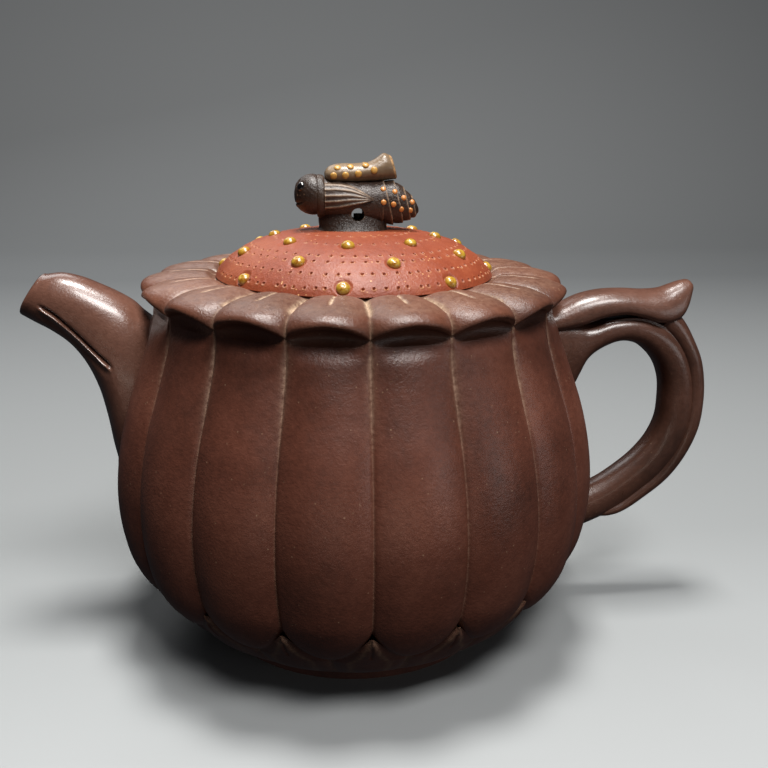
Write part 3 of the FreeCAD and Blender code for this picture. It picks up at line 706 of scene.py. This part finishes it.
def make_strap():
    spin = full_turn(128)
    top, bottom = along(STRAP_TOP, 110), along(STRAP_BOTTOM, 110)
    share = np.linspace(0, 1, 110)
    nose = np.clip((share - 0.70) / 0.30, 0, 1)
    wide = 5.0 * (1 - 0.62 * nose ** 1.7) * (0.90 + 0.10 * ramp(share, 0.0, 0.35))
    middle = (top + bottom) / 2
    span = top - bottom
    tilt = np.degrees(np.arctan2(span[:, 1], span[:, 0]))
    tall = np.hypot(span[:, 0], span[:, 1]) / 2
    turn = np.radians(tilt)[:, None]
    s, c = np.sin(spin), np.cos(spin)
    upper, lower = np.abs(s) ** (2 / 2.1), np.abs(s) ** (2 / 3.0)
    a = np.where(s > 0, -0.35 + 1.35 * upper, -0.35 - 0.65 * lower) * tall[:, None]
    b = np.sign(c) * np.abs(c) ** np.where(s > 0, 2 / 2.3, 2 / 2.6) * wide[:, None]
    grid = np.stack([middle[:, 0:1] + np.cos(turn) * a, b,
                     middle[:, 1:2] + np.sin(turn) * a], axis=-1)
    Mesh().shell(hold_out(grid)).build("thumb_strap", handle_clay, "dark_clay", "pot",
                                       ("thumb_rest",))


# ---- lid ---------------------------------------------------------------------------------

DOME = (
    (0.0, 84.20), (4.0, 84.17), (8.0, 84.05), (12.0, 83.70), (17.0, 82.70), (20.5, 81.55),
    (23.5, 79.95), (26.0, 78.05), (27.55, 76.25), (27.95, 75.35),
)
UNDER = ((27.6, 75.1), (24.0, 75.1), (21.3, 75.15), (20.7, 76.6), (19.0, 78.3),
         (15.0, 79.8), (8.0, 80.75), (0.4, 80.9))
SEED_RINGS = ((27.0, 76.9, 0.0), (22.8, 80.45, 0.5), (16.5, 82.82, 0.0))
HOLE_ROWS = ((27.25, 82), (25.0, 72), (22.3, 62), (20.6, 56), (15.9, 44), (11.0, 30))
SEED_RADIUS = 1.45
SEED_INSET = 0.35
RIM = 27.95


def vent(low, high):
    """The upright air hole through the lid and the finial."""
    return (0.8, 0, low), (0.8, 0, high), 1.0


def seed_spots():
    """Radius, angle and level of each seed's middle."""
    spots = []
    for radius, level, shift in SEED_RINGS:
        for k in range(8):
            turn = math.radians(-98 + 45 * (k + shift))
            spots.append((radius - SEED_INSET, turn, level - SEED_INSET))
    return spots


def lid_radii():
    """Radii of the rings on the dome, closest together at the pricked rows and the edge."""
    steps = [0.5]
    while steps[-1] < RIM:
        near = min(abs(steps[-1] - r) for r, _ in HOLE_ROWS)
        fine = 0.13 if near < 0.62 else 0.36 if near < 1.4 else 0.6
        if steps[-1] > 25.8:
            fine = min(fine, 0.16)
        if steps[-1] > 27.3:
            fine = 0.05
        steps.append(steps[-1] + fine)
    return np.array(steps[:-1] + [RIM])


def make_lid():
    cols = 1080
    turn = full_turn(cols)
    profile = along(DOME, 400)
    radii = lid_radii()
    height = np.interp(radii, profile[:, 0], profile[:, 1])
    slope = np.gradient(height, radii)
    normal = np.stack([-slope, np.ones_like(slope)], axis=-1)
    normal /= np.linalg.norm(normal, axis=1)[:, None]
    reach = np.concatenate([[0], np.cumsum(np.hypot(np.diff(radii), np.diff(height)))])
    sink = np.zeros((len(radii), cols))
    dust = np.zeros_like(sink)
    spots = seed_spots()
    for radius, count in HOLE_ROWS:
        centre = np.interp(radius, radii, reach)
        offset = RNG.uniform(0, 2 * math.pi / count)
        wander = RNG.normal(0, 0.035, count)
        drop = RNG.normal(0, 0.07, count)
        for k in range(count):
            angle = offset + (k + wander[k] * 3) * 2 * math.pi / count
            clear = min(math.hypot(radius * math.cos(angle) - r * math.cos(t),
                                   radius * math.sin(angle) - r * math.sin(t))
                        for r, t, _ in spots)
            if clear < 1.75:
                continue
            across = ((turn - angle + math.pi) % (2 * math.pi) - math.pi) * radius
            local = np.abs(across) < 1.2
            down = (reach - centre - drop[k])[:, None]
            far = np.hypot(across[local][None, :], down)
            pit = -0.45 * np.exp(-(far / 0.22) ** 4) + 0.07 * bell(far - 0.38, 0.12)
            sink[:, local] += pit
            # Painted highlight: a pale mark on the lower rim of each pit, on the downhill side
            # only.
            painted_rim_highlight = 0.45 * bell(far - 0.38, 0.10) * (down > 0)
            dust[:, local] = np.maximum(dust[:, local], painted_rim_highlight)
    for r, t, _ in spots:
        centre = np.interp(r + SEED_INSET, radii, reach)
        across = ((turn - t + math.pi) % (2 * math.pi) - math.pi)[None, :] * radii[:, None]
        far = np.hypot(across, (reach - centre)[:, None])
        sink += -0.30 * np.exp(-(far / 1.58) ** 8) + 0.04 * bell(far - 1.80, 0.22)
    sink += 0.05 * np.sin(3 * turn + 0.6) * bell(reach[:, None] - 14, 9)
    radius = radii[:, None] + sink * normal[:, 0:1]
    level = height[:, None] + sink * normal[:, 1:2]
    radius = np.minimum(radius, 28.0)
    outer = ring(radius, turn, level)
    inner = [ring(np.full(cols, r), turn, z) for r, z in UNDER]
    grid = np.concatenate([outer, np.array(inner)])
    marks = np.concatenate([dust, np.zeros((len(inner), cols))])
    Mesh().shell(grid, False, marks).build("lid_dome", lid_clay, "red_clay", "lid",
                                           ("lid_cap",), [vent(78, 86)])

    beads = Mesh()
    for k, (r, t, z) in enumerate(spots):
        tilt = np.interp(r, radii, slope)
        out = np.array([-tilt * math.cos(t), -tilt * math.sin(t), 1.0])
        out /= np.linalg.norm(out)
        size = SEED_RADIUS * (0.95 + 0.03 * math.sin(5.1 * k))
        grid = ball((0, 0, 0), size, (1, 1, 0.97), rows=22, cols=32)
        top = grid[..., 2] / size
        flat = np.hypot(grid[..., 0], grid[..., 1])
        grid[..., 2] -= 0.16 * bell(flat, 0.35) * (top > 0)
        # Painted highlight: each bead's top is painted paler yellow than its orange lower
        # part.
        marks = ramp(top, 0.0, 0.8)
        grid = grid @ facing(out).T + np.array([r * math.cos(t), r * math.sin(t), z])
        beads.shell(grid, False, marks)
    beads.build("lid_seed_beads", seed_clay, "ochre_clay", "lid", ("lid_seeds",))


# ---- insect ------------------------------------------------------------------------------

CHEST = (
    (-6.6, 90.5, 3.75, 3.7), (-4.0, 90.1, 4.15, 4.1), (-1.0, 89.8, 4.3, 4.3),
    (2.0, 89.6, 4.3, 4.25), (5.6, 89.5, 4.3, 4.05),
)
TAIL = (
    (3.6, 89.5, 4.05, 3.9), (4.6, 89.5, 4.3, 4.1), (6.4, 89.45, 4.35, 3.95),
    (8.2, 89.3, 4.2, 3.6), (9.9, 88.9, 3.4, 3.0), (11.3, 88.5, 2.45, 2.2),
    (12.4, 88.1, 1.45, 1.4), (12.95, 87.9, 0.45, 0.45),
)
CASE = (
    (-5.9, 94.6, 0.8, 1.4), (-5.4, 94.8, 1.3, 2.3), (-4.3, 95.0, 1.7, 2.8),
    (-2.4, 95.1, 1.9, 3.0), (0.4, 95.15, 1.9, 3.0), (3.3, 95.5, 1.95, 2.9),
    (5.2, 96.0, 2.35, 2.7), (6.6, 96.45, 2.55, 2.4), (7.7, 96.3, 2.3, 2.05),
)
PAD = (
    (83.55, 7.6, 6.0), (83.95, 7.0, 5.2), (84.7, 6.8, 4.5), (85.6, 6.9, 4.0),
    (86.6, 6.9, 3.7), (87.6, 6.7, 3.5), (88.4, 6.3, 3.3),
)
TAIL_DOTS = ((5.5, 89.7), (5.5, 92.2), (7.5, 89.3), (7.8, 91.7), (9.1, 88.3), (9.6, 90.5),
             (11.0, 88.0), (11.4, 89.6))
CASE_DOTS = ((-4.2, 94.7), (-1.9, 94.8), (0.6, 95.1), (3.7, 95.8),
             (-3.4, 96.2), (-0.9, 96.4), (2.1, 96.7))
CORD_HOLE = ((0.5, -9, 87.3), (0.5, 9, 87.3), 1.3)


def lengthwise(stations, rows):
    """Station rows by x, smoothed."""
    table = np.asarray(stations, float)
    x = table[0, 0] + (table[-1, 0] - table[0, 0]) * rows
    return np.stack([x] + [spline(table[:, 0], table[:, k])(x) for k in (1, 2, 3)], axis=-1)


def oval_rings(stations, spin, grow=0.0, lean=0.0, power=2.0):
    """Upright rings of a body from rows of x, middle level, half height and half width."""
    x, z, tall, wide = (stations[:, k][:, None] for k in range(4))
    a = rounded(np.sin(spin), power) * (tall + grow)
    b = rounded(np.cos(spin), power) * (wide + grow)
    return np.stack([x + lean * a, b + 0 * a, z + a], axis=-1)


def measures(stations, x):
    """Middle level, half height and half width of a body at some x."""
    table = np.asarray(stations, float)
    return (np.interp(x, table[:, 0], table[:, k]) for k in (1, 2, 3))


def flank(stations, x, z):
    """Half width of a body at a spot on its side, and the direction that faces outwards."""
    middle, tall, wide = measures(stations, x)
    lift = min(0.97, abs(z - middle) / tall)
    half = wide * math.sqrt(1 - lift * lift)
    out = Vector((0, half / wide**2, (z - middle) / tall**2)).normalized()
    return half, out


def dots_on(stations, spots, radius, flat, cols):
    """Flattened beads in mirrored pairs on the sides of a body."""
    dots = Mesh()
    for x, z in spots:
        for side in (-1, 1):
            half, out = flank(stations, x, z)
            turn = facing((out.x, out.y * side, out.z))
            dots.shell(ball((x, side * (half + 0.02), z), radius, (1, 1, flat), turn, 8, cols))
    return dots


def make_thorax():
    spin = full_turn(96)
    rows = np.linspace(0, 1, 60)
    body = lengthwise(CHEST, rows)
    Mesh().shell(oval_rings(body, spin)).build(
        "insect_chest", insect_clay, "insect_clay", "lid", ("insect_thorax",),
        [CORD_HOLE, vent(80, 87.2)])

    base = along(PAD, 40)
    z, a, b = (base[:, k][:, None] for k in range(3))
    sweep = 1 + 0.05 * bell(z - 83.6, 0.6)
    grid = np.stack([-0.3 + a * sweep * np.cos(spin) + 0 * z, b * sweep * np.sin(spin) + 0 * z,
                     z + 0 * spin], axis=-1)
    Mesh().shell(grid).build("insect_pad", insect_clay, "insect_clay", "lid",
                             ("finial_pad",),
                             [CORD_HOLE, vent(80, 87.2)])


def make_head():
    spin = full_turn(72)
    outline = ((-11.95, 90.9, 0.5, 0.6), (-11.75, 90.9, 1.6, 1.7), (-11.2, 90.95, 2.6, 2.5),
               (-10.2, 91.0, 3.45, 3.3), (-8.8, 91.0, 3.95, 3.8), (-7.6, 90.95, 3.9, 3.9),
               (-6.6, 90.8, 3.5, 3.6))
    skull = lengthwise(outline, 0.5 - 0.5 * np.cos(np.linspace(0, math.pi, 56)))
    grid = oval_rings(skull, spin, power=2.15)
    x, y, z = grid[..., 0], grid[..., 1], grid[..., 2]
    front = ramp(-x, 9.5, 11.4)
    mouth = bell(z - 89.3 - 0.05 * y * y, 0.16) * front
    brow = bell(np.abs(y) - 0.9, 0.35) * bell(z - 93.2, 1.0) * front
    grid[..., 0] = x + 0.35 * mouth + 0.25 * brow
    Mesh().shell(grid).build("insect_skull", head_clay, "black_clay", "lid",
                             ("insect_head",))

    t, u = np.meshgrid(full_turn(28), full_turn(120), indexing="ij")
    reach = 3.62 + 0.50 * np.cos(t)
    grid = np.stack([-6.75 + 0.95 * np.sin(t) - 0.25 * np.cos(u), reach * np.sin(u),
                     90.6 + (reach + 0.15) * np.cos(u)], axis=-1)
    Mesh().shell(grid, True).build("insect_neck_ring", insect_clay, "insect_clay", "lid",
                                   ("insect_collar",))

    eyes = Mesh()
    for side in (-1, 1):
        eyes.shell(ball((-10.4, side * 2.35, 92.5), 1.0, (0.95, 0.8, 1.05)))
    eyes.build("insect_eye_beads", eye_clay, "black_clay", "lid", ("insect_eyes",))


WING_TOP = ((-6.0, 93.4), (-3.2, 93.35), (-0.8, 92.85), (1.3, 91.8), (3.5, 90.4))
WING_LOW = ((-6.0, 88.0), (-3.6, 88.2), (-1.2, 88.75), (1.4, 89.5), (3.5, 90.15))


def make_wings():
    rows, cols = 56, 40
    top, low = along(WING_TOP, rows), along(WING_LOW, rows)
    up = np.linspace(0, 1, cols)
    x = top[:, None, 0] * up + low[:, None, 0] * (1 - up)
    z = top[:, None, 1] * up + low[:, None, 1] * (1 - up)
    middle, tall, wide = measures(CHEST, x)
    lift = np.clip(np.abs(z - middle) / tall, 0, 0.985)
    skin = wide * np.sqrt(1 - lift**2)
    share = np.linspace(0, 1, rows)[:, None]
    border = np.minimum(np.minimum(up, 1 - up) * 5.5, (1 - share) * 7)
    thick = 0.42 * np.clip(border / 0.5, 0, 1) ** 0.5
    veins = np.zeros_like(x)
    for spot in (0.12, 0.34, 0.55, 0.77, 0.93):
        veins = np.maximum(veins, bell((up - spot) * 5.4 * (1.15 - share), 0.20))
    veins = veins * ramp(1 - share, 0.02, 0.2)
    relief = thick + 0.18 * veins
    for side, name in ((-1, "right"), (1, "left")):
        outer = np.stack([x, side * (skin + relief), z], axis=-1)
        inner = np.stack([x, side * (skin - 0.45), z], axis=-1)
        grid = np.concatenate([outer, inner[:, ::-1]], axis=1)
        marks = np.concatenate([0.4 * veins + 0 * x, 0 * x], axis=1)
        Mesh().shell(grid, False, marks).build(
            "insect_wing_case_" + name, wing_clay, "insect_clay", "lid",
            ("insect_wing_" + name,))


def make_abdomen():
    spin = full_turn(96)
    rows = np.linspace(0, 1, 150)
    tail = lengthwise(TAIL, rows)
    grid = oval_rings(tail, spin)
    x = tail[:, 0:1]
    slanted = x + 0.24 * (grid[..., 2] - 89.5)
    edges = (4.55, 6.75, 8.85, 10.55, 11.85)
    grow = np.zeros(slanted.shape)
    shine = np.zeros(slanted.shape)
    for a, b in zip(edges, edges[1:] + (13.2,)):
        inside = (slanted >= a) & (slanted < b)
        share = (slanted - a) / (b - a)
        grow = np.where(inside, -0.28 + 0.42 * share**0.8, grow)
        shine = np.maximum(shine, bell(slanted - b + 0.12, 0.14) * (slanted < b))
    fade = ramp(x, 4.0, 4.8) * (1 - 0.6 * ramp(x, 11.5, 12.9))
    grid = oval_rings(tail, spin, grow=grow * fade)
    Mesh().shell(grid, False, shine * 0.7).build(
        "insect_tail", insect_clay, "insect_clay", "lid", ("insect_abdomen",))

    dots_on(TAIL, TAIL_DOTS, 0.56, 0.55, 14).build(
        "insect_tail_dots", dot_clay, "ochre_clay", "lid", ("insect_abdomen_spots",))


def flare(stations):
    """Slant of the rings that opens the rear end of the back case."""
    return -0.28 * ramp(stations[:, 0:1], 2.5, 7.0)


def make_case():
    spin = full_turn(96)
    rows = np.linspace(0, 1, 70) ** 0.85
    shell = lengthwise(CASE, rows)
    outer = oval_rings(shell, spin, lean=flare(shell))
    inner_rows = np.linspace(1, 0.62, 22)
    cup = lengthwise(CASE, inner_rows)
    shrink = -0.55 - 2.0 * ramp(1 - inner_rows, 0.05, 0.40)[:, None]
    inner = oval_rings(cup, spin, grow=np.maximum(shrink, -1.75), lean=flare(cup))
    lip = oval_rings(shell[-1:], spin, grow=-0.27, lean=flare(shell[-1:]))
    lip[..., 0] += 0.22
    grid = np.concatenate([outer, lip, inner])
    dust = np.zeros(grid.shape[:2])
    dust[len(outer) - 2:len(outer) + 2] = 0.7
    Mesh().shell(grid, False, dust).build("insect_shell", case_clay, "insect_clay", "lid",
                                          ("insect_back_case",))

    dots_on(CASE, CASE_DOTS, 0.70, 0.5, 16).build(
        "insect_shell_dots", gold_clay, "ochre_clay", "lid", ("insect_case_spots",))


# ---- assembly ----------------------------------------------------------------------------

make_wall()
make_calyx()
make_shoulder()
make_spout()
make_handle()
make_strap()
make_lid()
make_thorax()
make_head()
make_wings()
make_abdomen()
make_case()

for name, material in (("base_disc", inner_clay), ("foot_ring", calyx_clay),
                       ("mouth_collar", inner_clay), ("lid_flange", lid_clay)):
    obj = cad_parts[name]
    if not obj.material_slots:
        obj.data.materials.append(None)
    for place in obj.material_slots:
        place.material = material


# ---- floor, light and camera -------------------------------------------------------------

def make_stage():
    m = Nodes("pale_floor")
    away = m.add("ShaderNodeSeparateXYZ")
    m.link(m.place, away.inputs["Vector"])
    # Painted light and shade: the floor is painted bright near the camera, darker around and
    # behind the pot, and bright again up the backdrop.
    tone = m.colours(m.span(away.outputs["Y"], -0.3, 1.2),
                     [(0.0, srgb(192, 195, 197)), (0.22, srgb(130, 133, 134)),
                      (0.50, srgb(120, 123, 125)), (1.0, srgb(188, 191, 193))])
    m.link(tone, m.shader.inputs["Base Color"])
    m.shader.inputs["Roughness"].default_value = 0.7
    path = [(-3.0, 0.0), (0.6, 0.0)]
    for k in range(1, 13):
        turn = math.pi / 2 * k / 12
        path.append((0.6 + 0.6 * math.sin(turn), 0.6 - 0.6 * math.cos(turn)))
    path.append((1.2, 3.0))
    verts, faces = [], []
    for k, (y, z) in enumerate(path):
        verts += [(-3.0, y, z), (3.0, y, z)]
        if k:
            faces.append((2 * k - 2, 2 * k - 1, 2 * k + 1, 2 * k))
    mesh = bpy.data.meshes.new("floor")
    mesh.from_pydata(verts, [], faces)
    mesh.shade_smooth()
    mesh.materials.append(m.material)
    floor = bpy.data.objects.new("floor", mesh)
    floor.visible_diffuse = False
    floor.visible_glossy = False
    bpy.context.scene.collection.objects.link(floor)


def lamp(name, place, target, size, watts, tint=(1, 1, 1)):
    light = bpy.data.lights.new(name, "AREA")
    light.shape = "RECTANGLE"
    light.size, light.size_y = size
    light.energy, light.color = watts, tint
    obj = bpy.data.objects.new(name, light)
    obj.location = place
    aim = Vector(target) - Vector(place)
    obj.rotation_euler = aim.to_track_quat("-Z", "Y").to_euler()
    bpy.context.scene.collection.objects.link(obj)


make_stage()
lamp("overhead_box", (0.0, 0.0, 0.66), (0, 0, 0.06), (0.15, 0.15), 5.6, (1, 0.98, 0.95))
lamp("front_box", (0.12, -0.36, 0.66), (0, 0, 0.05), (0.30, 0.20), 5.2, (1, 0.98, 0.96))
lamp("rear_box", (-0.25, 0.50, 0.55), (0, 0, 0.05), (0.40, 0.30), 1.1)
lamp("low_box", (0.50, -0.42, 0.10), (0.03, 0, 0.03), (0.36, 0.16), 0.35)
lamp("palm_box", (-0.04, -0.42, 0.012), (0, 0, 0.01), (0.34, 0.02), 0.07, (1, 0.86, 0.74))

world = bpy.context.scene.world or bpy.data.worlds.new("studio")
bpy.context.scene.world = world
world.use_nodes = True
back = world.node_tree.nodes["Background"]
back.inputs["Color"].default_value = (0.80, 0.88, 1.0, 1)
back.inputs["Strength"].default_value = 0.028
bpy.context.scene.view_settings.view_transform = "Standard"

# The camera's place, axes and lens were solved from the petal grooves and the silhouette.
CAMERA_PLACE = (-11.622, -177.854, 103.621)
camera_data = bpy.data.cameras.new("camera")
camera_data.sensor_width = 36.0
camera_data.lens = 40.94
camera_data.clip_start, camera_data.clip_end = 0.01, 20
camera = bpy.data.objects.new("camera", camera_data)
right = Vector((0.99517, -0.09788, 0.00704))
upward = Vector((0.02075, 0.27996, 0.95979))
forward = Vector((0.09591, 0.95501, -0.28064))
frame_axes = Matrix((right, upward, -forward)).transposed()
camera.matrix_world = Matrix.Translation(Vector(CAMERA_PLACE) * MM) @ frame_axes.to_4x4()
bpy.context.scene.collection.objects.link(camera)
bpy.context.scene.camera = camera
